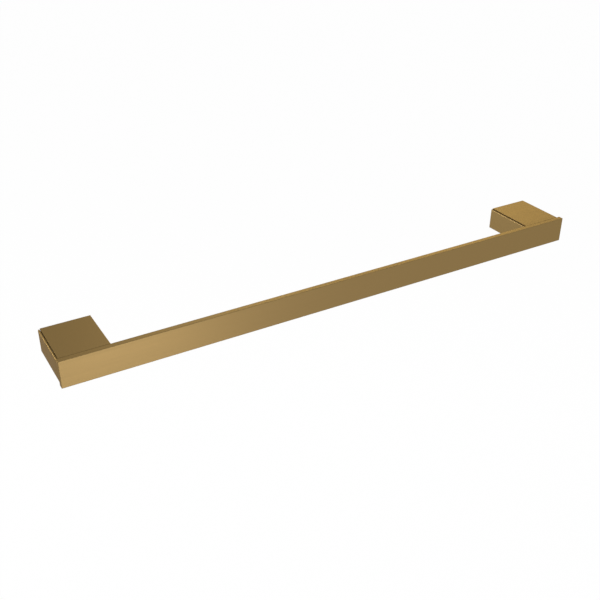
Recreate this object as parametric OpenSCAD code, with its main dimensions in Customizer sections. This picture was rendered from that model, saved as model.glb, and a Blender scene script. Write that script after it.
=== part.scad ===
// Towel bar: a flat rail carried in front of the wall by two box posts.
// Each post is one folded sheet, closed at the front by a plate that the rail is screwed to,
// and pushed over a bracket that is screwed to the wall.
// The origin lies on the wall plane, midway between the posts, at the height of the wall screws.
// +X runs along the rail, +Y points into the wall and +Z is up.
// The rail's left end is flush with the left post, and its top is flush with both posts.

/* [Rail] */
// Length of the rail
rail_len = 610; // [300:5:900]
// Height of the rail
rail_h = 29; // [22:0.5:45]
// Thickness of the rail
rail_t = 6; // [5:0.5:12]
// Radius that eases the edges of the rail
rail_edge_r = 0.6; // [0.2:0.1:2]
// How far the rail runs past the right post
rail_overrun = 4; // [1:0.5:30]

/* [Posts] */
// Width of a post
post_w = 51; // [48:0.5:80]
// Height of a post
post_h = 25; // [24:0.5:40]
// Depth of a post, from the wall to the back of the rail
post_d = 58; // [35:0.5:90]
// Thickness of the folded sheet
sheet_t = 1.5; // [1.3:0.1:2]
// Outside radius of the folds
fold_r = 0.5; // [0.2:0.1:1]
// Width of the open seam along the top left edge
seam_gap = 0.5; // [0.3:0.1:1.5]
// How far the side leaf stops below the top of the post
leaf_drop = 0.9; // [0.4:0.1:1.4]
// Radius that rounds the outer edge of the side leaf
leaf_edge_r = 1.1; // [0.2:0.1:1.2]

/* [Front plates] */
// Thickness of the plate that closes the front of a post
plate_t = 3; // [2:0.5:5]
// Radius of the plate's corners
plate_corner_r = 1; // [0.5:0.1:3]
// Gap between the plate and the sheet around it
plate_gap = 0.1; // [0.05:0.05:0.3]

/* [Rail screws] */
// Distance between the two screws of a post
screw_pitch = 28; // [16:1:32]
// Radius of the thread
screw_r = 2.5; // [2:0.1:3]
// Radius of the head
head_r = 4.6; // [4.2:0.1:5.5]
// Height of the head
head_h = 2.6; // [2:0.1:3.5]
// Width of the key socket across its flats
head_key_w = 3; // [2.5:0.1:3.5]
// Depth of the key socket
head_key_depth = 1.5; // [1:0.1:1.8]
// Outside radius of the spring washer
washer_r = 4.3; // [3.8:0.1:5]
// Thickness of the spring washer
washer_t = 1.1; // [0.8:0.1:1.5]
// Width of the split in the spring washer
washer_split = 0.8; // [0.4:0.1:1.2]
// Radial play of the screw in the plate and the washer
screw_play = 0.25; // [0.1:0.05:0.5]
// Metal left behind the blind holes in the rail
rail_floor = 1.5; // [1:0.1:2]
// Space left between the tip of the screw and the end of its hole
tip_space = 0.5; // [0.2:0.1:1]

/* [Wall brackets] */
// Depth of the bracket, from the wall
bracket_d = 12; // [11:0.5:20]
// Gap between the bracket and the sheet around it
bracket_gap = 0.25; // [0.1:0.05:0.5]
// Radius of the bracket's corners
bracket_corner_r = 1.5; // [0.5:0.1:2]
// Thickness of the web that lies against the wall
web_t = 4; // [3.5:0.1:6]
// Thickness of the rim around the web
rim_t = 2.2; // [1.5:0.1:3]
// Distance between the two holes for wall screws
hole_pitch = 30; // [26:0.5:32]
// Radius of a hole for a wall screw
hole_r = 2.5; // [2:0.1:3]
// Radius of the countersink at the front of the hole
sink_r = 4.5; // [3.5:0.1:5]

/* [Set screws] */
// Distance of the set screw from the wall
set_reach = 7; // [6:0.5:8.5]
// Radius of the thread
set_r = 2; // [1.5:0.1:2.5]
// Radius of the flat tip
set_tip_r = 0.5; // [0.2:0.1:0.8]
// Height of the cone point
set_cone_h = 1.5; // [1:0.1:2]
// How far the foot of the set screw lies inside the underside of the post
set_recess = 0.3; // [0.1:0.1:1]
// Width of the key socket across its flats
set_key_w = 2; // [1.5:0.1:2.5]
// Depth of the key socket
set_key_depth = 2.2; // [1.5:0.1:3]
// Radius of the clinch nut's flange
nut_r = 4.2; // [3.8:0.1:5]
// Height of the clinch nut's flange
nut_h = 2.5; // [2:0.1:3]
// Radius of the spigot that the nut has in the sheet
spigot_r = 3; // [2.8:0.1:3.4]
// Gap between the clinch nut and the bracket around it
nut_gap = 0.5; // [0.3:0.1:1]
// Thickness of the anvil that the set screw presses on
anvil_t = 3.5; // [2.5:0.1:5]

/* [Hidden] */
$fn = 48;

// How far a cut runs past the face that it opens
cut_over = 1;
// Radial play of a thread in its hole, and of the nut's spigot in the sheet
thread_play = 0.05;
// Gap between the cone point and its seat
seat_gap = 0.05;

// Places of the posts
post_pitch = rail_len - post_w - rail_overrun;
left_x = -post_pitch / 2;
right_x = post_pitch / 2;

// Places along the depth, from the wall to the front
plate_back_y = plate_t - post_d;
head_y = plate_back_y + washer_t;
thread_hole_depth = rail_t - rail_floor;
screw_tip_y = tip_space - post_d - thread_hole_depth;

// Room inside the folded sheet
room_w = post_w - 2 * sheet_t;
room_h = post_h - 2 * sheet_t;
bracket_w = room_w - 2 * bracket_gap;
bracket_h = room_h - 2 * bracket_gap;

// Heights of the set screw's seat
sheet_z = -room_h / 2;
pocket_z = sheet_z + nut_h + nut_gap;
pocket_w = 2 * (nut_r + nut_gap);
pocket_back_y = nut_r + nut_gap - set_reach;
cone_z = pocket_z - seat_gap;
foot_z = set_recess - post_h / 2;

brass = "#96794c";
steel = "#9b9c9e";
zinc = "#85868a";

// A flat rectangle with round corners, centred
module round_rect(w, h, r) {
    square([w - 2 * r, h], center = true);
    square([w, h - 2 * r], center = true);
    for (x = [-1, 1], y = [-1, 1])
        translate([x * (w / 2 - r), y * (h / 2 - r)])
            circle(r);
}

// A block with every edge eased, centred
module eased_block(w, d, h, r) {
    intersection() {
        linear_extrude(h, center = true)
            round_rect(w, d, r);
        rotate([90, 0, 0])
            linear_extrude(d, center = true)
                round_rect(w, h, r);
        rotate([90, 0, 90])
            linear_extrude(w, center = true)
                round_rect(d, h, r);
    }
}

// Turns what was drawn along +Z so that it runs along +Y
module along_y() {
    rotate([-90, 0, 0])
        children();
}

// Extrudes a profile drawn in X and Z from a place y towards the front
module extrude_forward(y, depth) {
    translate([0, y, 0])
        rotate([90, 0, 0])
            linear_extrude(depth)
                children();
}

// A hexagonal key socket, measured across its flats
module key_socket(across, depth) {
    cylinder(h = depth, r = across / sqrt(3), $fn = 6);
}

// What is cut from a square corner at the origin to round it, the solid lying at +x and -y
module corner_cut(r) {
    difference() {
        translate([-cut_over, -r])
            square([r + cut_over, r + cut_over]);
        translate([r, -r])
            circle(r);
        translate([r, -r])
            square([cut_over, r + cut_over]);
    }
}

// Rail: a solid flat bar with blind threaded holes in its back
module rail() {
    color(brass)
        difference() {
            translate([rail_overrun / 2, -post_d - rail_t / 2, (post_h - rail_h) / 2])
                eased_block(rail_len, rail_t, rail_h, rail_edge_r);
            for (post_x = [left_x, right_x], side = [-1, 1])
                translate([post_x + side * screw_pitch / 2, -post_d - thread_hole_depth, 0])
                    along_y()
                        cylinder(h = thread_hole_depth + cut_over, r = screw_r + thread_play);
        }
}

// Section of the post: a sheet folded at three corners and open at the top left one
module sleeve_profile() {
    difference() {
        round_rect(post_w, post_h, fold_r);
        square([room_w, room_h], center = true);
        translate([-post_w / 2, post_h / 2 - leaf_drop]) {
            translate([-cut_over, 0])
                square([sheet_t + cut_over, leaf_drop + cut_over]);
            corner_cut(leaf_edge_r);
        }
        translate([-room_w / 2, room_h / 2 - leaf_drop])
            square([seam_gap, sheet_t + leaf_drop + cut_over]);
    }
}

// Post sleeve: the folded sheet, with a hole underneath for the clinch nut
module post_sleeve() {
    color(brass)
        difference() {
            extrude_forward(0, post_d)
                sleeve_profile();
            translate([0, -set_reach, -post_h / 2 - cut_over])
                cylinder(h = sheet_t + 2 * cut_over, r = spigot_r + thread_play);
        }
}

// Front plate: closes the sleeve behind the rail and takes the rail screws
module front_plate() {
    color(brass)
        difference() {
            extrude_forward(plate_back_y, plate_t)
                round_rect(room_w - 2 * plate_gap, room_h - 2 * plate_gap, plate_corner_r);
            for (side = [-1, 1])
                translate([side * screw_pitch / 2, -post_d - cut_over, 0])
                    along_y()
                        cylinder(h = plate_t + 2 * cut_over, r = screw_r + screw_play);
        }
}

// Rail screw: a low domed head with a key socket, on a shank that ends in a small chamfer
module rail_screw() {
    dome_r = (head_r * head_r + head_h * head_h) / (2 * head_h);
    shank_len = head_y - screw_tip_y;
    chamfer = screw_r / 5;
    color(steel)
        difference() {
            union() {
                translate([0, screw_tip_y, 0])
                    along_y() {
                        cylinder(h = chamfer, r1 = screw_r - chamfer, r2 = screw_r);
                        translate([0, 0, chamfer])
                            cylinder(h = shank_len - chamfer, r = screw_r);
                    }
                intersection() {
                    translate([0, head_y, 0])
                        along_y()
                            cylinder(h = head_h, r = head_r);
                    translate([0, head_y + head_h - dome_r, 0])
                        sphere(dome_r);
                }
            }
            translate([0, head_y + head_h - head_key_depth, 0])
                along_y()
                    key_socket(head_key_w, head_key_depth + cut_over);
        }
}

// Spring washer: a flat ring with a slanted split, squeezed between head and plate
module spring_washer() {
    color(steel)
        translate([0, plate_back_y, 0])
            along_y()
                difference() {
                    cylinder(h = washer_t, r = washer_r);
                    translate([0, 0, -cut_over])
                        cylinder(h = washer_t + 2 * cut_over, r = screw_r + screw_play);
                    translate([washer_r / 2, 0, washer_t / 2])
                        rotate([30, 0, 0])
                            cube([washer_r + cut_over, washer_split, 2 * (washer_t + cut_over)], center = true);
                }
}

// Wall bracket: a web with a rim, a countersunk hole each side, and an anvil for the set screw
module wall_bracket() {
    color(zinc)
        difference() {
            union() {
                difference() {
                    extrude_forward(0, bracket_d)
                        round_rect(bracket_w, bracket_h, bracket_corner_r);
                    extrude_forward(-web_t, bracket_d)
                        square([bracket_w - 2 * rim_t, bracket_h - 2 * rim_t], center = true);
                }
                extrude_forward(0, bracket_d)
                    translate([0, (pocket_z + anvil_t - bracket_h / 2) / 2])
                        square([pocket_w + 2 * rim_t, pocket_z + anvil_t + bracket_h / 2], center = true);
            }
            extrude_forward(pocket_back_y, bracket_d)
                translate([-pocket_w / 2, -bracket_h / 2 - cut_over])
                    square([pocket_w, pocket_z + bracket_h / 2 + cut_over]);
            translate([0, -set_reach, pocket_z])
                cylinder(h = set_cone_h, r1 = set_r, r2 = set_tip_r);
            for (side = [-1, 1])
                translate([side * hole_pitch / 2, 0, 0])
                    wall_screw_hole();
        }
}

// Hole for a wall screw, countersunk at a right angle from the front of the web
module wall_screw_hole() {
    sink_depth = sink_r - hole_r;
    along_y() {
        translate([0, 0, -web_t - cut_over])
            cylinder(h = web_t + 2 * cut_over, r = hole_r);
        translate([0, 0, -web_t])
            cylinder(h = sink_depth, r1 = sink_r, r2 = hole_r);
    }
}

// Clinch nut: pressed into the underside of the sleeve from inside
module clinch_nut() {
    color(brass)
        translate([0, -set_reach, 0])
            difference() {
                union() {
                    translate([0, 0, sheet_z])
                        cylinder(h = nut_h, r = nut_r);
                    translate([0, 0, sheet_z - sheet_t])
                        cylinder(h = sheet_t, r = spigot_r);
                }
                translate([0, 0, sheet_z - sheet_t - cut_over])
                    cylinder(h = sheet_t + nut_h + 2 * cut_over, r = set_r + thread_play);
            }
}

// Set screw: threaded through the clinch nut, with its cone point in the bracket's anvil
module set_screw() {
    color(steel)
        translate([0, -set_reach, 0])
            difference() {
                union() {
                    translate([0, 0, foot_z])
                        cylinder(h = cone_z - foot_z, r = set_r);
                    translate([0, 0, cone_z])
                        cylinder(h = set_cone_h, r1 = set_r, r2 = set_tip_r);
                }
                translate([0, 0, foot_z - cut_over])
                    key_socket(set_key_w, set_key_depth + cut_over);
            }
}

// The post's pieces at one end of the rail, and those that sit beside its middle
module at_left() {
    translate([left_x, 0, 0])
        children();
}

module at_right() {
    translate([right_x, 0, 0])
        children();
}

module toward_left() {
    translate([-screw_pitch / 2, 0, 0])
        children();
}

module toward_right() {
    translate([screw_pitch / 2, 0, 0])
        children();
}

module left_post_sleeve() { at_left() post_sleeve(); }
module left_front_plate() { at_left() front_plate(); }
module left_rail_screw_outer() { at_left() toward_left() rail_screw(); }
module left_rail_screw_inner() { at_left() toward_right() rail_screw(); }
module left_spring_washer_outer() { at_left() toward_left() spring_washer(); }
module left_spring_washer_inner() { at_left() toward_right() spring_washer(); }
module left_wall_bracket() { at_left() wall_bracket(); }
module left_clinch_nut() { at_left() clinch_nut(); }
module left_set_screw() { at_left() set_screw(); }

module right_post_sleeve() { at_right() post_sleeve(); }
module right_front_plate() { at_right() front_plate(); }
module right_rail_screw_outer() { at_right() toward_right() rail_screw(); }
module right_rail_screw_inner() { at_right() toward_left() rail_screw(); }
module right_spring_washer_outer() { at_right() toward_right() spring_washer(); }
module right_spring_washer_inner() { at_right() toward_left() spring_washer(); }
module right_wall_bracket() { at_right() wall_bracket(); }
module right_clinch_nut() { at_right() clinch_nut(); }
module right_set_screw() { at_right() set_screw(); }

rail();
left_post_sleeve();
left_front_plate();
left_rail_screw_outer();
left_rail_screw_inner();
left_spring_washer_outer();
left_spring_washer_inner();
left_wall_bracket();
left_clinch_nut();
left_set_screw();
right_post_sleeve();
right_front_plate();
right_rail_screw_outer();
right_rail_screw_inner();
right_spring_washer_outer();
right_spring_washer_inner();
right_wall_bracket();
right_clinch_nut();
right_set_screw();
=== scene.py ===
import math

import bmesh
import bpy
import numpy as np
from mathutils import Matrix, Vector


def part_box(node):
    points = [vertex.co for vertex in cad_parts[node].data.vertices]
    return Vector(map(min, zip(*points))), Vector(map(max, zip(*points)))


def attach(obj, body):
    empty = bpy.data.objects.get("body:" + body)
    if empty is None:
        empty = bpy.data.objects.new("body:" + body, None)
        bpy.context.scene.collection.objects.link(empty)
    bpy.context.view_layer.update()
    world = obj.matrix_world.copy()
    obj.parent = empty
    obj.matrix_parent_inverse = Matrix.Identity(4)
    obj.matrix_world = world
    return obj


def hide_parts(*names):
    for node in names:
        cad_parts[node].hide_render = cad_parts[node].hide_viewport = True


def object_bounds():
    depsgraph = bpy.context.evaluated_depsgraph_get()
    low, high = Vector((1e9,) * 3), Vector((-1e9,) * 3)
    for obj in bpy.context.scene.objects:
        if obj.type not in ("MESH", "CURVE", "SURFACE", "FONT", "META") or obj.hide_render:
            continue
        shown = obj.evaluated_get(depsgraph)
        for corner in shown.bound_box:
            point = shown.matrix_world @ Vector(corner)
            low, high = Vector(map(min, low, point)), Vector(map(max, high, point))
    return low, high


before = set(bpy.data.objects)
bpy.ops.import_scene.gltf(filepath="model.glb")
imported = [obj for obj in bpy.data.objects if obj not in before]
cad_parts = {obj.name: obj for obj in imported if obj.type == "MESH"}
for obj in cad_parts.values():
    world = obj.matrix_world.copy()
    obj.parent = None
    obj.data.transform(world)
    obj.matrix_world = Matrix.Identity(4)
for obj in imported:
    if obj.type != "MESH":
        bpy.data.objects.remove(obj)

# Brushed brass towel bar: the surfaces, finishes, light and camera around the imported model.
# All lengths are in metres; mm turns a size in millimetres into metres.
mm = 0.001
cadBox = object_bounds()
sides = ("left", "right")
print("frame loaded:", len(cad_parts), "nodes")


def boxOf(node):
    # Lowest and highest corner of a node, as arrays
    low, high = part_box(node)
    return np.array(low), np.array(high)


# Shapes worked out as grids of points

def arcTurn(start, turn, steps):
    # Angles from start, spaced evenly over turn, both ends included
    return start + turn * np.linspace(0, 1, steps + 1)


def roundRectLoop(width, height, radius, steps):
    # Each corner is its centre plus radius times (cos, sin), over a quarter turn, anticlockwise
    angles = arcTurn(0, math.pi / 2, steps)
    corners = []
    for turn, (sx, sy) in enumerate(((1, 1), (-1, 1), (-1, -1), (1, -1))):
        centre = np.array([sx * (width / 2 - radius), sy * (height / 2 - radius)])
        around = angles + turn * math.pi / 2
        corners.append(centre + radius * np.stack([np.cos(around), np.sin(around)], 1))
    return np.concatenate(corners)


def gridFaces(rows, columns, closeRows):
    # Quads between neighbouring rows; the columns always close round
    index = np.arange(rows * columns).reshape(rows, columns)
    if closeRows:
        index = np.concatenate([index, index[:1]])
    here, there = index[:-1], index[1:]
    after = np.roll(index, -1, axis=1)
    quads = np.stack([here, after[:-1], after[1:], there], -1)
    return quads.reshape(-1, 4)


def makePiece(name, grid, closeRows=False, uv=None):
    # A closed surface from a grid of points: rows along it, columns round it, flat caps at both ends
    rows, columns = grid.shape[:2]
    faces = gridFaces(rows, columns, closeRows).tolist()
    if not closeRows:
        faces.append(list(range(columns))[::-1])
        faces.append(list(range((rows - 1) * columns, rows * columns)))
    mesh = bpy.data.meshes.new(name)
    mesh.from_pydata(grid.reshape(-1, 3).tolist(), [], faces)
    if uv is not None:
        corner = np.empty(len(mesh.loops), dtype=np.int64)
        mesh.loops.foreach_get("vertex_index", corner)
        layer = mesh.uv_layers.new(name="grain")
        layer.uv.foreach_set("vector", uv.reshape(-1, 2)[corner].astype(np.float32).ravel())
    mesh.validate()
    if signedVolume(mesh) < 0:
        mesh.flip_normals()
    piece = bpy.data.objects.new(name, mesh)
    bpy.context.scene.collection.objects.link(piece)
    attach(piece, "root")
    return piece


def signedVolume(mesh):
    # Sum of the tetrahedra between the origin and each triangle; positive when the faces point outwards
    mesh.calc_loop_triangles()
    points = np.empty(len(mesh.vertices) * 3)
    mesh.vertices.foreach_get("co", points)
    points = points.reshape(-1, 3)
    corners = np.empty(len(mesh.loop_triangles) * 3, dtype=np.int64)
    mesh.loop_triangles.foreach_get("vertices", corners)
    first, second, third = (points[corners[place::3]] for place in range(3))
    return float(np.einsum("ij,ij->i", first, np.cross(second, third)).sum() / 6)


shading = {
    "sharpAngle": math.radians(40),
    "fineSharpAngle": math.radians(34),
    "faceWeight": 80,
}


def easeShading(piece, sharpAngle):
    # Smooth shading that stays flat on the large faces
    piece.data.shade_smooth()
    piece.data.set_sharp_from_angle(angle=sharpAngle)
    weigh = piece.modifiers.new("flatFaces", "WEIGHTED_NORMAL")
    weigh.keep_sharp = True
    weigh.weight = shading["faceWeight"]


def cutHoles(piece, cutters):
    # Takes closed cutters out of a piece and applies the result
    for cutter in cutters:
        cut = piece.modifiers.new("hole", "BOOLEAN")
        cut.operation = "DIFFERENCE"
        cut.solver = "EXACT"
        cut.object = cutter
    graph = bpy.context.evaluated_depsgraph_get()
    mesh = bpy.data.meshes.new_from_object(piece.evaluated_get(graph), depsgraph=graph)
    piece.modifiers.clear()
    old = piece.data
    piece.data = mesh
    bpy.data.meshes.remove(old)
    for cutter in cutters:
        bpy.data.objects.remove(cutter)


def roundCutter(start, end, radius, columns):
    # A plain closed cylinder between two points with the same x
    start, end = np.array(start), np.array(end)
    along = (end - start) / np.linalg.norm(end - start)
    side = np.cross(along, [1.0, 0, 0])
    other = np.cross(along, side)
    angle = arcTurn(0, 2 * math.pi, columns)[:-1, None]
    ring = radius * (np.cos(angle) * side + np.sin(angle) * other)
    mesh = bpy.data.meshes.new("cutter")
    points = np.concatenate([ring + start, ring + end])
    faces = gridFaces(2, columns, False).tolist()
    faces.append(list(range(columns))[::-1])
    faces.append(list(range(columns, 2 * columns)))
    mesh.from_pydata(points.tolist(), [], faces)
    if signedVolume(mesh) < 0:
        mesh.flip_normals()
    cutter = bpy.data.objects.new("cutter", mesh)
    bpy.context.scene.collection.objects.link(cutter)
    return cutter


# Finishes

def newMaterial(name):
    material = bpy.data.materials.new(name)
    material.use_nodes = True
    tree = material.node_tree
    shader = tree.nodes["Principled BSDF"]
    return material, tree, shader


def addNode(tree, kind, **values):
    # Sets plain attributes by name and inputs by their socket's name
    node = tree.nodes.new(kind)
    for key, value in values.items():
        if hasattr(node, key):
            setattr(node, key, value)
        else:
            node.inputs[key].default_value = value
    return node


def linear(red, green, blue):
    # From the 0 to 255 values of a screen colour to the shader's linear ones
    screen = np.array([red, green, blue]) / 255
    low = screen / 12.92
    high = ((screen + 0.055) / 1.055) ** 2.4
    return (*np.where(screen < 0.04045, low, high).tolist(), 1.0)


brassLook = {
    "colour": linear(138, 114, 73),
    "paleColour": linear(144, 120, 78),
    "edgeTint": (0.50, 0.44, 0.38, 1.0),
    "roughness": 0.36,
    "roughnessSpread": 0.05,
    "anisotropy": 0.45,
    "crossTurn": 0.25,
    "lineWidth": 0.22 * mm,
    "lineLength": 35 * mm,
    "lineDetail": 3.0,
    "lineContrast": 0.6,
    "bandWidth": 2.4 * mm,
    "bandLength": 160 * mm,
    "bandDetail": 2.0,
    "bandContrast": 0.5,
    "bandShare": 0.5,
    "noiseRange": (0.3, 0.7),
    "bumpDepth": 0.0035 * mm,
}


def spreadRoughness(tree, noise, look):
    # The noise's usual range becomes the roughness, less and more its spread
    spread = addNode(tree, "ShaderNodeMapRange")
    spread.inputs["From Min"].default_value, spread.inputs["From Max"].default_value = look["noiseRange"]
    spread.inputs["To Min"].default_value = look["roughness"] - look["roughnessSpread"]
    spread.inputs["To Max"].default_value = look["roughness"] + look["roughnessSpread"]
    tree.links.new(noise, spread.inputs["Value"])
    tree.links.new(spread.outputs["Result"], tree.nodes["Principled BSDF"].inputs["Roughness"])


def brushedBrass(name, look, onSurface):
    # Fine lines along the first coordinate, over broad faint bands, in roughness, colour and bump
    material, tree, shader = newMaterial(name)
    link = tree.links.new
    shader.inputs["Metallic"].default_value = 1.0
    shader.inputs["Specular Tint"].default_value = look["edgeTint"]
    shader.inputs["Anisotropic"].default_value = look["anisotropy"]
    shader.inputs["Anisotropic Rotation"].default_value = look["crossTurn"]
    place = addNode(tree, "ShaderNodeTexCoord")
    source = place.outputs["UV" if onSurface else "Object"]
    line = 1 / look["lineWidth"]
    lines = addNode(tree, "ShaderNodeMapping", Scale=(1 / look["lineLength"], line, line))
    band = 1 / look["bandWidth"]
    bands = addNode(tree, "ShaderNodeMapping", Scale=(1 / look["bandLength"], band, band))
    link(source, lines.inputs["Vector"])
    link(source, bands.inputs["Vector"])
    fine = addNode(tree, "ShaderNodeTexNoise", Scale=1.0,
                   Detail=look["lineDetail"], Roughness=look["lineContrast"])
    broad = addNode(tree, "ShaderNodeTexNoise", Scale=1.0,
                    Detail=look["bandDetail"], Roughness=look["bandContrast"])
    link(lines.outputs["Vector"], fine.inputs["Vector"])
    link(bands.outputs["Vector"], broad.inputs["Vector"])
    blend = addNode(tree, "ShaderNodeMix", data_type="FLOAT", Factor=look["bandShare"])
    link(fine.outputs["Fac"], blend.inputs["A"])
    link(broad.outputs["Fac"], blend.inputs["B"])
    spreadRoughness(tree, blend.outputs["Result"], look)
    tone = addNode(tree, "ShaderNodeMix", data_type="RGBA", blend_type="MIX")
    tone.inputs["A"].default_value = look["colour"]
    tone.inputs["B"].default_value = look["paleColour"]
    link(blend.outputs["Result"], tone.inputs["Factor"])
    link(tone.outputs["Result"], shader.inputs["Base Color"])
    bump = addNode(tree, "ShaderNodeBump", Strength=1.0, Distance=look["bumpDepth"])
    link(fine.outputs["Fac"], bump.inputs["Height"])
    link(bump.outputs["Normal"], shader.inputs["Normal"])
    if onSurface:
        tangent = addNode(tree, "ShaderNodeTangent", direction_type="UV_MAP", uv_map="grain")
        link(tangent.outputs["Tangent"], shader.inputs["Tangent"])
    return material


metalLooks = {
    "turnedSteel": {
        "colour": (0.45, 0.45, 0.46, 1.0), "roughness": 0.30, "grain": 0.4 * mm, "bumpDepth": 0.004 * mm},
    "springSteel": {
        "colour": (0.30, 0.30, 0.31, 1.0), "roughness": 0.36, "grain": 0.6 * mm, "bumpDepth": 0.004 * mm},
    "turnedBrass": {
        "colour": brassLook["paleColour"], "roughness": 0.28, "grain": 0.5 * mm, "bumpDepth": 0.003 * mm},
    "castZinc": {
        "colour": (0.33, 0.335, 0.345, 1.0), "roughness": 0.46, "grain": 0.7 * mm, "bumpDepth": 0.03 * mm},
}

grainLook = {
    "detail": 4.0,
    "contrast": 0.55,
    "roughnessSpread": 0.07,
    "noiseRange": (0.3, 0.7),
}


def plainMetal(name):
    # Turned or cast metal: a small even noise in roughness and bump, in object coordinates
    look = {**grainLook, **metalLooks[name]}
    material, tree, shader = newMaterial(name)
    link = tree.links.new
    shader.inputs["Metallic"].default_value = 1.0
    shader.inputs["Base Color"].default_value = look["colour"]
    place = addNode(tree, "ShaderNodeTexCoord")
    noise = addNode(tree, "ShaderNodeTexNoise", Scale=1 / look["grain"],
                    Detail=look["detail"], Roughness=look["contrast"])
    link(place.outputs["Object"], noise.inputs["Vector"])
    spreadRoughness(tree, noise.outputs["Fac"], look)
    bump = addNode(tree, "ShaderNodeBump", Strength=1.0, Distance=look["bumpDepth"])
    link(noise.outputs["Fac"], bump.inputs["Height"])
    link(bump.outputs["Normal"], shader.inputs["Normal"])
    return material


brassOnRail = brushedBrass("brushedBrassRail", brassLook, True)
brassOnPost = brushedBrass("brushedBrassPost", brassLook, True)
brassInside = brushedBrass("brushedBrassInside", brassLook, False)
screwSteel = plainMetal("turnedSteel")
springSteel = plainMetal("springSteel")
turnedBrass = plainMetal("turnedBrass")
castZinc = plainMetal("castZinc")
print("finishes made")


def finishWith(piece, material):
    piece.data.materials.clear()
    piece.data.materials.append(material)


# Rail

railShape = {
    "edgeRadius": 0.6 * mm,
    "edgeSteps": 6,
    "capTurn": math.radians(84),
    "holeRadius": 2.55 * mm,
    "holeDepth": 4.5 * mm,
    "holeColumns": 48,
    "screwPitch": 28 * mm,
    "cutOver": 1 * mm,
}


def makeRail(shape):
    # Rounded block: each ring is the section, drawn in by r(1 - cos t) where x is r(1 - sin t) from the end
    low, high = boxOf("rail")
    size = high - low
    middle = (low + high) / 2
    radius = shape["edgeRadius"]
    turn = arcTurn(0, shape["capTurn"], shape["edgeSteps"])
    inset = radius * (1 - np.cos(turn))
    fromEnd = radius * (1 - np.sin(turn))
    stations = [(low[0] + away, drawnIn) for away, drawnIn in zip(fromEnd[::-1], inset[::-1])]
    stations += [(high[0] - away, drawnIn) for away, drawnIn in zip(fromEnd, inset)]
    rings = []
    surface = []
    for x, drawnIn in stations:
        loop = roundRectLoop(
            size[1] - 2 * drawnIn, size[2] - 2 * drawnIn, radius - drawnIn, shape["edgeSteps"])
        ring = np.column_stack([np.full(len(loop), x), middle[1] + loop[:, 0], middle[2] + loop[:, 1]])
        around = np.concatenate([[0], np.cumsum(np.linalg.norm(np.diff(loop, axis=0), axis=1))])
        rings.append(ring)
        surface.append(np.column_stack([np.full(len(loop), x), around]))
    rail = makePiece("flatRail", np.array(rings), uv=np.array(surface))
    cutters = []
    back = high[1]
    for side in sides:
        postLow, postHigh = boxOf(side + "_post_sleeve")
        centre = (postLow + postHigh) / 2
        for reach in (-1, 1):
            x = centre[0] + reach * shape["screwPitch"] / 2
            cutters.append(roundCutter(
                (x, back - shape["holeDepth"], centre[2]), (x, back + shape["cutOver"], centre[2]),
                shape["holeRadius"], shape["holeColumns"]))
    cutHoles(rail, cutters)
    easeShading(rail, shading["sharpAngle"])
    finishWith(rail, brassOnRail)
    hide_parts("rail")


makeRail(railShape)
print("rail made")


# Post sleeves

sleeveShape = {
    "sheet": 1.5 * mm,
    "foldRadius": 0.5 * mm,
    "innerRadius": 0.12 * mm,
    "foldSteps": 6,
    "cutEdge": 0.12 * mm,
    "leafEdge": 1.1 * mm,
    "leafDrop": 0.9 * mm,
    "seamGap": 0.5 * mm,
    "edgeSteps": 4,
    "endTurn": math.pi / 2 * 0.97,
    "nutHole": 3.05 * mm,
    "nutReach": 7 * mm,
    "holeColumns": 48,
    "cutOver": 1 * mm,
}


def foldPoints(corner, radius, start, steps):
    # A quarter turn round a corner's centre, anticlockwise from the angle start
    angles = arcTurn(start, math.pi / 2, steps)
    return corner + radius * np.stack([np.cos(angles), np.sin(angles)], 1)


def endPoints(outer, inner, away, outward, outerEase, shape):
    # The sheet's cut end: both faces draw in by r(1 - cos t) as they near the end by r(1 - sin t)
    innerEase = shape["cutEdge"]
    turn = arcTurn(0, shape["endTurn"], shape["edgeSteps"])[:, None]
    outside = outer + away * outerEase * (np.sin(turn) - 1) - outward * outerEase * (1 - np.cos(turn))
    inside = inner + away * innerEase * (np.sin(turn) - 1) + outward * innerEase * (1 - np.cos(turn))
    return outside, inside


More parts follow.
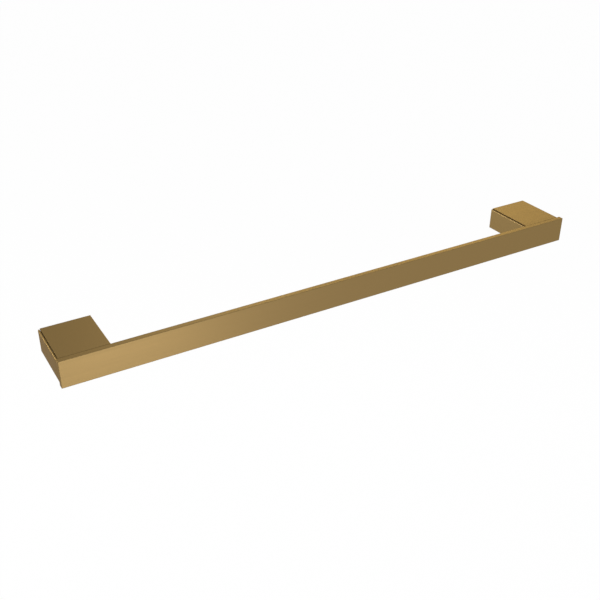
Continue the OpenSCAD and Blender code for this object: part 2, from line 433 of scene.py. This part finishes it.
def makeSleeve(side, shape):
    # The sheet's section, a thin round cornered rectangle, carried along the folded path round the post
    node = side + "_post_sleeve"
    low, high = boxOf(node)
    width, depth, height = high - low
    centre = (low + high) / 2
    sheet = shape["sheet"]
    half = np.array([width / 2, height / 2])
    outerFold, innerFold, steps = shape["foldRadius"], shape["innerRadius"], shape["foldSteps"]
    left = np.array([-1.0, 0])
    up = np.array([0, 1.0])
    # The side leaf's free edge comes first, then the folds, anticlockwise, then the top's free edge
    leafTop = half[1] - shape["leafDrop"]
    leafOut, leafIn = endPoints(
        np.array([-half[0], leafTop]), np.array([-half[0] + sheet, leafTop]), up, left,
        shape["leafEdge"], shape)
    outer = [leafOut[::-1]]
    inner = [leafIn[::-1]]
    for fold, (sx, sy) in enumerate(((-1, -1), (1, -1), (1, 1))):
        sign = np.array([sx, sy])
        start = math.pi + fold * math.pi / 2
        outer.append(foldPoints(sign * (half - outerFold), outerFold, start, steps))
        inner.append(foldPoints(sign * (half - sheet - innerFold), innerFold, start, steps))
    topEnd = -half[0] + sheet + shape["seamGap"]
    topOut, topIn = endPoints(
        np.array([topEnd, half[1]]), np.array([topEnd, half[1] - sheet]), left, up,
        shape["cutEdge"], shape)
    outer.append(topOut)
    inner.append(topIn)
    outer = np.concatenate(outer)
    inner = np.concatenate(inner)
    # The section's own outline: across the sheet as a share of it, and along the depth
    loop = roundRectLoop(sheet, depth, shape["cutEdge"], shape["edgeSteps"])
    share = (loop[:, 0] / sheet + 0.5)[None, :, None]
    flat = inner[:, None, :] * (1 - share) + outer[:, None, :] * share
    grid = np.empty((*flat.shape[:2], 3))
    grid[..., 0] = centre[0] + flat[..., 0]
    grid[..., 1] = centre[1] + loop[None, :, 1]
    grid[..., 2] = centre[2] + flat[..., 1]
    travel = np.concatenate([[0], np.cumsum(np.linalg.norm(np.diff(outer, axis=0), axis=1))])
    surface = np.empty((*flat.shape[:2], 2))
    surface[..., 0] = travel[:, None] + centre[0]
    surface[..., 1] = loop[None, :, 1]
    sleeve = makePiece(side + "FoldedSleeve", grid, uv=surface)
    y = high[1] - shape["nutReach"]
    over = shape["cutOver"]
    cutHoles(sleeve, [roundCutter(
        (centre[0], y, low[2] - over), (centre[0], y, low[2] + sheet + over),
        shape["nutHole"], shape["holeColumns"])])
    easeShading(sleeve, shading["sharpAngle"])
    finishWith(sleeve, brassOnPost)
    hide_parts(node)


for side in sides:
    makeSleeve(side, sleeveShape)
print("post sleeves made")


# Turned pieces: a radius for every angle round an axis and every place along it

def turnedGrid(radius, along, centre, axis):
    # Each row is a ring: its radii times (cos, sin) across the axis, at its places along it
    angle = arcTurn(0, 2 * math.pi, radius.shape[1])[:-1]
    first, second = (across for across in range(3) if across != axis)
    grid = np.empty((*radius.shape, 3))
    grid[..., first] = centre[first] + radius * np.cos(angle)
    grid[..., second] = centre[second] + radius * np.sin(angle)
    grid[..., axis] = centre[axis] + along
    return grid


def plainRows(points, columns):
    # Round rows from (radius, place) pairs
    points = np.array(points, float)
    return np.repeat(points[:, :1], columns, 1), np.repeat(points[:, 1:], columns, 1)


def arcRows(centre, radius, start, turn, steps, columns):
    # Round rows on an arc: (radius, place) is centre plus the arc's radius times (cos, sin)
    angles = arcTurn(start, turn, steps)
    return plainRows(np.column_stack([
        centre[0] + radius * np.cos(angles), centre[1] + radius * np.sin(angles)]), columns)


threadShape = {
    "rowsPerTurn": 10,
    "waveGain": 1.35,
    "waveDrop": 0.15,
    "fadeTurns": 0.7,
}


def threadRows(start, end, crest, depth, pitch, columns):
    # Crest radius plus depth times a flat topped wave that climbs one pitch a turn and fades at both ends
    count = int(round(abs(end - start) / pitch * threadShape["rowsPerTurn"]))
    along = np.linspace(start, end, count + 1)[:, None]
    turn = np.arange(columns)[None, :] / columns
    wave = np.abs(2 * ((along / pitch - turn) % 1) - 1)
    wave = np.clip(threadShape["waveGain"] * wave - threadShape["waveDrop"], 0, 1)
    fromEnd = np.minimum(abs(along - start), abs(end - along))
    fade = np.clip(fromEnd / (threadShape["fadeTurns"] * pitch), 0, 1)
    return crest + depth * wave * fade, np.repeat(along, columns, 1)


def hexRows(halfWidth, places, columns):
    # A key socket: half its width across the flats over the cosine of the angle from the nearest flat
    angle = arcTurn(0, 360, columns)[:-1]
    radius = halfWidth / np.cos(np.radians(angle % 60 - 30))
    return np.repeat(radius[None, :], len(places), 0), np.repeat(np.array(places)[:, None], columns, 1)


def joinRows(*parts):
    radius = np.concatenate([part[0] for part in parts])
    along = np.concatenate([part[1] for part in parts])
    return radius, along


# Rail screws and their spring washers

railScrewShape = {
    "columns": 48,
    "threadRadius": 2.5 * mm,
    "threadDepth": 0.42 * mm,
    "pitch": 0.8 * mm,
    "tipChamfer": 0.5 * mm,
    "plainLength": 1.2 * mm,
    "headRadius": 4.6 * mm,
    "headHeight": 2.6 * mm,
    "headEdge": 0.25 * mm,
    "neck": 0.1 * mm,
    "edgeSteps": 3,
    "domeSteps": 10,
    "keyWidth": 3 * mm,
    "keyDepth": 1.5 * mm,
    "keyRim": 2.0 * mm,
    "keyEdge": 0.25 * mm,
    "keyPoint": 0.35 * mm,
    "keyPointRadius": 0.3 * mm,
}


def makeRailScrew(side, place, shape):
    # From the tip up the thread, round the domed head and down into its key socket
    node = side + "_rail_screw_" + place
    low, high = boxOf(node)
    centre = (low + high) / 2
    columns = shape["columns"]
    tip, top = low[1], high[1]
    seat = top - shape["headHeight"]
    thread, chamfer, edge = shape["threadRadius"], shape["tipChamfer"], shape["headEdge"]
    head, tall, neck = shape["headRadius"], shape["headHeight"], shape["neck"]
    dome = (head ** 2 + tall ** 2) / (2 * tall)
    rimTurn = math.asin(shape["keyRim"] / dome)
    sideTurn = math.asin((head - edge) / dome)
    rim = top - dome + dome * math.cos(rimTurn)
    shoulder = top - dome + dome * math.cos(sideTurn)
    floor = top - shape["keyDepth"]
    radius, along = joinRows(
        plainRows([(thread - chamfer, tip)], columns),
        threadRows(tip + chamfer, seat - shape["plainLength"], thread, -shape["threadDepth"],
                   shape["pitch"], columns),
        plainRows([(thread, seat - neck), (thread + neck, seat), (head - edge / 2, seat)], columns),
        arcRows((head - edge / 2, seat + edge / 2), edge / 2, -math.pi / 2, math.pi / 2,
                shape["edgeSteps"], columns),
        plainRows([(head, max(seat + edge / 2, shoulder - edge))], columns),
        arcRows((0, top - dome), dome, math.pi / 2 - sideTurn, sideTurn - rimTurn,
                shape["domeSteps"], columns),
        hexRows(shape["keyWidth"] / 2, [rim - shape["keyEdge"], floor], columns),
        plainRows([(shape["keyPointRadius"], floor - shape["keyPoint"])], columns),
    )
    centre[1] = 0
    screw = makePiece(side + "RailScrew" + place.capitalize(), turnedGrid(radius, along, centre, 1))
    easeShading(screw, shading["fineSharpAngle"])
    finishWith(screw, screwSteel)
    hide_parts(node)


washerShape = {
    "innerRadius": 2.75 * mm,
    "edge": 0.12 * mm,
    "edgeSteps": 3,
    "split": 0.8 * mm,
    "splitTurn": 30,
    "columns": 64,
}


def makeSpringWasher(side, place, shape):
    # A flat ring's section carried round from one slanted face of the split to the other
    node = side + "_spring_washer_" + place
    low, high = boxOf(node)
    centre = (low + high) / 2
    outer = (high[2] - low[2]) / 2
    centre[0] = low[0] + outer
    thick = high[1] - low[1]
    loop = roundRectLoop(outer - shape["innerRadius"], thick, shape["edge"], shape["edgeSteps"])
    ring = loop[:, 0] + (outer + shape["innerRadius"]) / 2
    slant = math.radians(shape["splitTurn"])
    faces = [(half - loop[:, 1] * math.sin(slant)) / math.cos(slant)
             for half in (shape["split"] / 2, -shape["split"] / 2)]
    start = np.arcsin(faces[0] / ring)
    end = 2 * math.pi + np.arcsin(faces[1] / ring)
    share = np.linspace(0, 1, shape["columns"] + 1)[:, None]
    angle = start + share * (end - start)
    grid = np.stack([
        centre[0] + ring * np.cos(angle),
        np.repeat(centre[1] + loop[None, :, 1], len(share), 0),
        centre[2] - ring * np.sin(angle),
    ], -1)
    washer = makePiece(side + "SpringWasher" + place.capitalize(), grid)
    easeShading(washer, shading["fineSharpAngle"])
    finishWith(washer, springSteel)
    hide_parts(node)


for side in sides:
    for place in ("outer", "inner"):
        makeRailScrew(side, place, railScrewShape)
        makeSpringWasher(side, place, washerShape)
print("rail screws and washers made")


# Clinch nuts and set screws

nutShape = {
    "columns": 48,
    "bore": 2.05 * mm,
    "threadDepth": 0.3 * mm,
    "pitch": 0.7 * mm,
    "spigotRadius": 3 * mm,
    "spigotHeight": 1.5 * mm,
    "boreChamfer": 0.3 * mm,
    "footEdge": 0.12 * mm,
    "flangeEdge": 0.2 * mm,
    "edgeSteps": 3,
}


def makeClinchNut(side, shape):
    # A closed profile round the upright axis: up the threaded bore, over the flange, down to the foot
    node = side + "_clinch_nut"
    low, high = boxOf(node)
    centre = (low + high) / 2
    columns = shape["columns"]
    foot, top = low[2], high[2]
    seat = foot + shape["spigotHeight"]
    bore, chamfer = shape["bore"], shape["boreChamfer"]
    flange, edge = (high[0] - low[0]) / 2, shape["flangeEdge"]
    spigot, footEdge = shape["spigotRadius"], shape["footEdge"]
    radius, along = joinRows(
        plainRows([(bore + chamfer, foot)], columns),
        threadRows(foot + chamfer, top - chamfer, bore, shape["threadDepth"], shape["pitch"], columns),
        plainRows([(bore + chamfer, top)], columns),
        arcRows((flange - edge, top - edge), edge, math.pi / 2, -math.pi / 2,
                shape["edgeSteps"], columns),
        plainRows([(flange, seat), (spigot, seat)], columns),
        arcRows((spigot - footEdge, foot + footEdge), footEdge, 0, -math.pi / 2,
                shape["edgeSteps"], columns),
    )
    centre[2] = 0
    nut = makePiece(side + "ClinchNut", turnedGrid(radius, along, centre, 2),
                    closeRows=True)
    easeShading(nut, shading["fineSharpAngle"])
    finishWith(nut, turnedBrass)
    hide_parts(node)


setScrewShape = {
    "columns": 48,
    "threadRadius": 2 * mm,
    "threadDepth": 0.34 * mm,
    "pitch": 0.7 * mm,
    "coneHeight": 1.5 * mm,
    "tipRadius": 0.5 * mm,
    "footChamfer": 0.3 * mm,
    "keyWidth": 2 * mm,
    "keyDepth": 2.2 * mm,
    "keyRim": 1.25 * mm,
    "keyEdge": 0.12 * mm,
    "keyPoint": 0.3 * mm,
    "keyPointRadius": 0.2 * mm,
}


def makeSetScrew(side, shape):
    # From the cone point down the thread, over the foot and up into its key socket
    node = side + "_set_screw"
    low, high = boxOf(node)
    centre = (low + high) / 2
    columns = shape["columns"]
    foot, tip = low[2], high[2]
    shoulder = tip - shape["coneHeight"]
    thread, chamfer = shape["threadRadius"], shape["footChamfer"]
    keyFloor = foot + shape["keyDepth"]
    radius, along = joinRows(
        plainRows([(shape["tipRadius"], tip)], columns),
        threadRows(shoulder, foot + chamfer, thread, -shape["threadDepth"], shape["pitch"], columns),
        plainRows([(thread - chamfer, foot), (shape["keyRim"], foot)], columns),
        hexRows(shape["keyWidth"] / 2, [foot + shape["keyEdge"], keyFloor], columns),
        plainRows([(shape["keyPointRadius"], keyFloor + shape["keyPoint"])], columns),
    )
    centre[2] = 0
    screw = makePiece(side + "SetScrew", turnedGrid(radius, along, centre, 2))
    easeShading(screw, shading["fineSharpAngle"])
    finishWith(screw, screwSteel)
    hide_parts(node)


for side in sides:
    makeClinchNut(side, nutShape)
    makeSetScrew(side, setScrewShape)
print("clinch nuts and set screws made")


# Front plates and wall brackets: their own solids with the edges eased

easedShape = {
    "mergeDistance": 0.002 * mm,
    "flatAngle": math.radians(0.5),
    "plateEdge": 0.3 * mm,
    "bracketEdge": 0.35 * mm,
    "edgeSteps": 3,
    "edgeAngle": math.radians(30),
}


def easedCopy(node, name, edge, material, shape):
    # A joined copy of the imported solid, its flat faces whole again and a round bevel on every edge
    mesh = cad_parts[node].data.copy()
    mesh.name = name
    build = bmesh.new()
    build.from_mesh(mesh)
    bmesh.ops.remove_doubles(build, verts=build.verts, dist=shape["mergeDistance"])
    bmesh.ops.dissolve_limit(build, angle_limit=shape["flatAngle"], verts=build.verts, edges=build.edges)
    build.to_mesh(mesh)
    build.free()
    piece = bpy.data.objects.new(name, mesh)
    bpy.context.scene.collection.objects.link(piece)
    bevel = piece.modifiers.new("easedEdges", "BEVEL")
    bevel.width = edge
    bevel.segments = shape["edgeSteps"]
    bevel.limit_method = "ANGLE"
    bevel.angle_limit = shape["edgeAngle"]
    easeShading(piece, shading["fineSharpAngle"])
    finishWith(piece, material)
    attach(piece, "root")
    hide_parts(node)


for side in sides:
    easedCopy(side + "_front_plate", side + "FrontPlate", easedShape["plateEdge"],
              brassInside, easedShape)
    easedCopy(side + "_wall_bracket", side + "WallBracket", easedShape["bracketEdge"],
              castZinc, easedShape)
print("front plates and wall brackets made")


# Camera, from the photo's own perspective

cameraSet = {
    "place": (-0.43385, -0.71205, 0.43742),
    "azimuth": -30.27,
    "elevation": 29.98,
    "roll": 0.144,
    "lens": 51.36,
    "sensor": 36.0,
    "nearest": 0.02,
}


def makeCamera(values):
    # Looks along the azimuth and down by the elevation, then turns by the roll
    azimuth, elevation, roll = (math.radians(values[key]) for key in ("azimuth", "elevation", "roll"))
    ahead = Vector((
        -math.sin(azimuth) * math.cos(elevation), math.cos(azimuth) * math.cos(elevation),
        -math.sin(elevation)))
    right = Vector((math.cos(azimuth), math.sin(azimuth), 0))
    up = right.cross(ahead)
    turnedRight = right * math.cos(roll) + up * math.sin(roll)
    turnedUp = up * math.cos(roll) - right * math.sin(roll)
    camera = bpy.data.objects.new("camera", bpy.data.cameras.new("camera"))
    camera.data.sensor_width = values["sensor"]
    camera.data.lens = values["lens"]
    camera.data.clip_start = values["nearest"]
    axes = Matrix((turnedRight, turnedUp, -ahead)).transposed().to_4x4()
    camera.matrix_world = Matrix.Translation(values["place"]) @ axes
    bpy.context.scene.collection.objects.link(camera)
    bpy.context.scene.camera = camera


makeCamera(cameraSet)


# Studio: a pale floor well below the bar, which hangs at its height on a wall, and soft lamps

studio = {
    "floorDrop": 1.1,
    "floorSize": 30.0,
    "floorColour": (0.9, 0.9, 0.9, 1.0),
    "floorRoughness": 0.9,
    "floorShine": 0.1,
    "floorWhite": 1.0,
    "whiteShare": 0.96,
    "worldColour": (0.8, 0.8, 0.8, 1.0),
    "worldStrength": 1.0,
}

lamps = {
    "lowLamp": {"place": (0.05, -1.6, -0.6), "aim": (-0.05, -0.06, 0.0), "size": (0.6, 1.0), "power": 2.7},
    "leftStrip": {"place": (-0.1, -1.6, -0.4), "aim": (-0.1, -0.06, 0.0), "size": (0.25, 1.3), "power": 0.8},
    "rightStrip": {"place": (0.4, -1.6, -0.4), "aim": (0.0, -0.06, 0.0), "size": (0.25, 1.3), "power": 1.1},
    "backHigh": {"place": (0.5, 1.7, 1.0), "aim": (0.0, 0.0, 0.0), "size": (0.5, 0.6), "power": 1.0},
    "backMiddle": {"place": (1.0, 1.5, 0.5), "aim": (0.1, 0.0, 0.0), "size": (0.9, 0.3), "power": 5.0},
    "backRight": {"place": (1.6, 1.15, 0.7), "aim": (0.2, 0.0, 0.0), "size": (0.7, 0.4), "power": 1.2},
    "backLow": {"place": (1.5, 1.3, 0.4), "aim": (0.2, 0.0, 0.0), "size": (0.9, 0.3), "power": 2.5},
    "leftFill": {"place": (-1.0, 1.4, -0.5), "aim": (0.2, 0.0, 0.0), "size": (0.8, 0.8), "power": 0.7},
    "lipLamp": {"place": (-2.6, 2.4, 0.5), "aim": (0.0, 0.0, 0.0), "size": (0.7, 0.9), "power": 30.0},
}


def makeFloor(values):
    # Nearly white to the camera and in mirrors; the rest of it is lit, so that it keeps the bar's shadow
    half = values["floorSize"] / 2
    corner = np.array([[-half, -half], [half, -half], [half, half], [-half, half]])
    level = float(cadBox[0][2]) - values["floorDrop"]
    points = np.column_stack([corner, np.full(4, level)])
    mesh = bpy.data.meshes.new("floor")
    mesh.from_pydata(points.tolist(), [], [(0, 1, 2, 3)])
    floor = bpy.data.objects.new("floor", mesh)
    bpy.context.scene.collection.objects.link(floor)
    material, tree, shader = newMaterial("paleFloor")
    link = tree.links.new
    shader.inputs["Base Color"].default_value = values["floorColour"]
    shader.inputs["Roughness"].default_value = values["floorRoughness"]
    shader.inputs["Specular IOR Level"].default_value = values["floorShine"]
    white = addNode(tree, "ShaderNodeEmission", Strength=values["floorWhite"])
    rays = addNode(tree, "ShaderNodeLightPath")
    mirrored = addNode(tree, "ShaderNodeMath", operation="MAXIMUM")
    seen = addNode(tree, "ShaderNodeMath", operation="MAXIMUM")
    link(rays.outputs["Is Glossy Ray"], mirrored.inputs[0])
    link(rays.outputs["Is Transmission Ray"], mirrored.inputs[1])
    link(rays.outputs["Is Camera Ray"], seen.inputs[0])
    link(mirrored.outputs["Value"], seen.inputs[1])
    share = addNode(tree, "ShaderNodeMath", operation="MULTIPLY")
    share.inputs[1].default_value = values["whiteShare"]
    link(seen.outputs["Value"], share.inputs[0])
    choose = addNode(tree, "ShaderNodeMixShader")
    link(share.outputs["Value"], choose.inputs["Fac"])
    link(shader.outputs["BSDF"], choose.inputs[1])
    link(white.outputs["Emission"], choose.inputs[2])
    link(choose.outputs["Shader"], tree.nodes["Material Output"].inputs["Surface"])
    finishWith(floor, material)


def makeWorld(values):
    world = bpy.data.worlds.new("studio")
    world.use_nodes = True
    back = world.node_tree.nodes["Background"]
    back.inputs["Color"].default_value = values["worldColour"]
    back.inputs["Strength"].default_value = values["worldStrength"]
    bpy.context.scene.world = world


def makeLamp(name, values):
    light = bpy.data.lights.new(name, "AREA")
    light.shape = "RECTANGLE"
    light.size, light.size_y = values["size"]
    light.energy = values["power"]
    lamp = bpy.data.objects.new(name, light)
    lamp.visible_camera = False
    place = Vector(values["place"])
    turned = (Vector(values["aim"]) - place).to_track_quat("-Z", "Z")
    lamp.matrix_world = Matrix.Translation(place) @ turned.to_matrix().to_4x4()
    bpy.context.scene.collection.objects.link(lamp)


makeFloor(studio)
makeWorld(studio)
for lampName, lampValues in lamps.items():
    makeLamp(lampName, lampValues)
bpy.context.scene.view_settings.view_transform = "Standard"
print("studio made")
